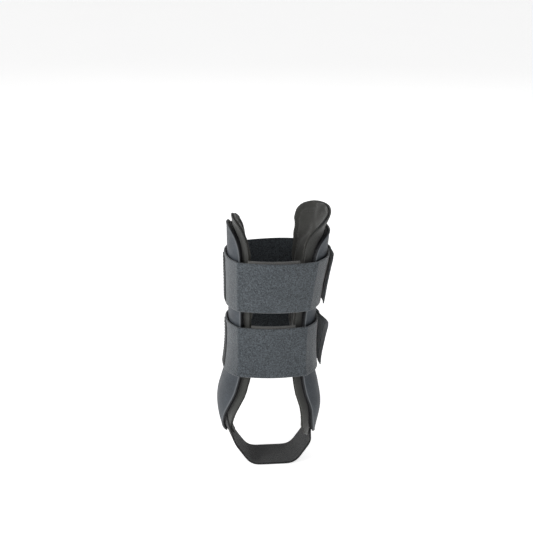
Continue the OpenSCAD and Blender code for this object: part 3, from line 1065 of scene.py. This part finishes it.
def tab_grid(level, from_angle, short, width_in):
    """Places on a tab, short of its free end and in from its long edges by the given lengths: angle,
    width, length from the start, distance from the tip and from the nearer long edge."""
    width = STRAP_W - 2 * width_in
    w = spaced(width, 0.8, 0.7) * width + width_in
    t = spaced(TAB_LENGTH, 0.7, 0.8)
    tt, ww = np.meshgrid(t, w, indexing="ij")
    tip = tab_tip(level, ww) + short / DEG_TO_MM
    angle = from_angle + (tip - from_angle) * tt
    length = (from_angle - angle) * DEG_TO_MM
    from_tip = (angle - tip) * DEG_TO_MM
    side = np.minimum(ww - w[0], w[-1] - ww)
    return angle, ww, length, from_tip, side


def tab_middle(level, angle, w):
    """Distance of a tab's middle from the path. Its root lies on the strap's end, the free part comes
    down past it, and the tip flares out."""
    past = np.clip((TAB_ROOT - angle) / (TAB_ROOT - TAB_TIP[level][1]), 0, None)
    low, high = TAB_FLARE[level]
    lift = (low + (high - low) * (1 - (1 - w / STRAP_W) ** 1.8)) * past**1.6
    return TAB_REST - TAB_DROP * smooth((12 - angle) / 12) + lift


def tab_ripple(angle, w):
    length = (TAB_FROM - angle) * DEG_TO_MM
    return 0.6 * (value_noise(np.stack([length, w, 0 * w], -1), 12, 31) - 0.5)


def make_tab(level, z0):
    angle, w, length, from_tip, side = tab_grid(level, TAB_FROM, 0, 0)
    h = TAB_T / 2 * half_round(side, 0.7) * half_round(from_tip, 0.8) * half_round(length, 0.8)
    middle = tab_middle(level, angle, w) + tab_ripple(angle, w) * smooth(length / 20)
    press = 0.25 * np.exp(-((length - 2.2) / 0.8) ** 2) + 0.25 * np.exp(-((side - 2.0) / 0.7) ** 2)
    lifts = pile(np.stack([length, w, 0 * w], -1), 0.10)
    lifts = lifts * half_round(side, 1.5) * half_round(from_tip, 1.5)
    out = on_strap(z0 + w, angle, middle + h + lifts - press)
    inn = on_strap(z0 + w, angle, middle - h)
    tab = closed_sheet(f"{level}_tab_flap", out, inn, TAB, np.stack([length, w], -1))
    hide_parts(f"{level}_tab")
    z_middle = z0 + STRAP_W / 2
    bend(tab, f"{level}_strap_front", f"{level}_tab", z_middle, TAB_ROOT + 4, TAB_ROOT - 4, 1)


def make_tab_hooks(level, z0):
    """The hook tape on the inside of a tab's free part."""
    angle, w, length, from_tip, side = tab_grid(level, TAB_HOOK_FROM, TAB_HOOK_SHORT, TAB_HOOK_IN)
    h = 0.3 * half_round(side, 0.5) * half_round(from_tip, 0.5) * half_round(length, 0.5)
    middle = tab_middle(level, angle, w) - 0.95 + tab_ripple(angle, w)
    out = on_strap(z0 + w, angle, middle + h)
    inn = on_strap(z0 + w, angle, middle - h)
    # Its lighter colour is painted light on the tab's inner face.
    hooks = closed_sheet(f"{level}_tab_hooks", out, inn, TAB_HOOK_PAINTED_LIGHT, np.stack([length, w], -1))
    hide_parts(f"{level}_tab_hook")
    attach(hooks, f"{level}_tab")


def tab_stitches(level, z0):
    """Two rows of stitches across a tab's sewn root."""
    pitch, half = 2.9, 1.0
    spots = []
    for inset in (2.2, 6.2):
        angle = TAB_FROM - inset / DEG_TO_MM
        spots += [((angle, w - half), (angle, w + half)) for w in np.arange(3.2, STRAP_W - 3, pitch)]
    face = TAB_REST + TAB_T / 2
    strap_stitches(f"{level}_tab_stitching", z0, spots, face - 0.03, f"{level}_strap_front")


# ---- the CAD nodes that stay: hook patches under the straps ----


def keep_cad_nodes():
    for node in ("lateral_strap_hooks", "medial_strap_hooks"):
        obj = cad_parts[node]
        obj.data.materials.clear()
        obj.data.materials.append(HOOK)


# ---- floor, light and camera ----


def add_stage():
    mesh = bpy.data.meshes.new("floor")
    size, z = 6.0, -0.0004
    corners = [(-size, -size, z), (size, -size, z), (size, size, z), (-size, size, z)]
    mesh.from_pydata(corners, [], [(0, 1, 2, 3)])
    mesh.materials.append(floor_material())
    floor = bpy.data.objects.new("floor", mesh)
    bpy.context.scene.collection.objects.link(floor)


def add_area(name, place, target, size, power):
    data = bpy.data.lights.new(name, "AREA")
    data.shape = "RECTANGLE"
    data.size, data.size_y = size
    data.energy = power
    light = bpy.data.objects.new(name, data)
    light.location = place
    light.rotation_euler = (Vector(target) - Vector(place)).to_track_quat("-Z", "Y").to_euler()
    bpy.context.scene.collection.objects.link(light)


def add_lights():
    target = (0, 0, 0.14)
    add_area("key", (-1.45, -0.95, 0.9), target, (0.8, 0.8), 17)
    add_area("fill", (0.05, -1.7, 0.55), target, (1.2, 1.2), 7)
    add_area("back", (0.3, 1.4, 1.3), target, (1.6, 1.0), 9)


def add_world():
    """A pale studio, brightest at the horizon and darker on the medial side."""
    world = bpy.data.worlds.new("studio")
    world.use_nodes = True
    tree = world.node_tree
    direction = tree.nodes.new("ShaderNodeTexCoord").outputs["Generated"]
    split = tree.nodes.new("ShaderNodeSeparateXYZ")
    tree.links.new(direction, split.inputs[0])
    sky = tree.nodes.new("ShaderNodeValToRGB")
    for element, (height, level) in zip(sky.color_ramp.elements, ((0.06, 1.0), (0.40, 0.22))):
        element.position = height
        element.color = (level, level, level, 1)
    tree.links.new(split.outputs["Z"], sky.inputs["Fac"])
    shaded = tree.nodes.new("ShaderNodeMapRange")
    for socket, value in (("From Min", -0.2), ("From Max", 0.8), ("To Min", 1.0), ("To Max", 0.15)):
        shaded.inputs[socket].default_value = value
    tree.links.new(split.outputs["X"], shaded.inputs["Value"])
    background = tree.nodes["Background"]
    tree.links.new(sky.outputs["Color"], background.inputs["Color"])
    tree.links.new(shaded.outputs["Result"], background.inputs["Strength"])
    bpy.context.scene.world = world
    bpy.context.scene.view_settings.view_transform = "Standard"


def add_camera():
    azimuth, elevation = math.radians(-6), math.radians(17)
    distance = 1.3
    aim = Vector((-0.0046, 0.0, 0.193))
    back = Vector((math.sin(azimuth) * math.cos(elevation), -math.cos(azimuth) * math.cos(elevation),
                   math.sin(elevation)))
    data = bpy.data.cameras.new("camera")
    data.sensor_width = 36
    data.lens = 94.4
    camera = bpy.data.objects.new("camera", data)
    camera.location = aim + back * distance
    camera.rotation_euler = (-back).to_track_quat("-Z", "Y").to_euler()
    bpy.context.scene.collection.objects.link(camera)
    bpy.context.scene.camera = camera


for side in (LATERAL, MEDIAL):
    make_shell(side)
    make_liner(side)
    make_hook_field(side)
    make_heel_half(side)
for level in ("upper", "lower"):
    make_strap(level)
keep_cad_nodes()
add_stage()
add_lights()
add_world()
add_camera()
